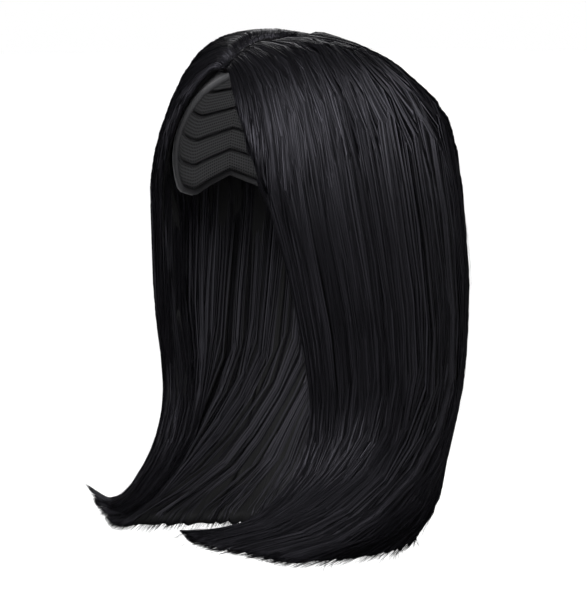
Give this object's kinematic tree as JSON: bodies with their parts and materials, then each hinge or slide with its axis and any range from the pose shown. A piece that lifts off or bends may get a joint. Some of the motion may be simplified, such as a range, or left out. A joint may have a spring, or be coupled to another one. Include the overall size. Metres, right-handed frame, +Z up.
{
  "type": "synthetic wig",
  "caption": "Straight black synthetic wig with a centre parting, collarbone length, ends curled forward and under, on a close net cap; worn on a head.",
  "frame": {"origin": "inside of the cap at the crown, where the wig sits on the top of a head", "axes": "+Z up, the face looks along -Y, the wearer's left is +X"},
  "size_m": [0.22, 0.2658, 0.351],
  "materials": {
    "hair_fibre": "soft satin synthetic fibre",
    "cap_net": "matte knitted net",
    "parting_skin": "matte skin-tone strip"
  },
  "bodies": {
    "root": {"cap": "cap_net", "parting_strip": "parting_skin", "side_hair_left": "hair_fibre", "side_hair_right": "hair_fibre", "back_hair": "hair_fibre"}
  },
  "joints": []
}
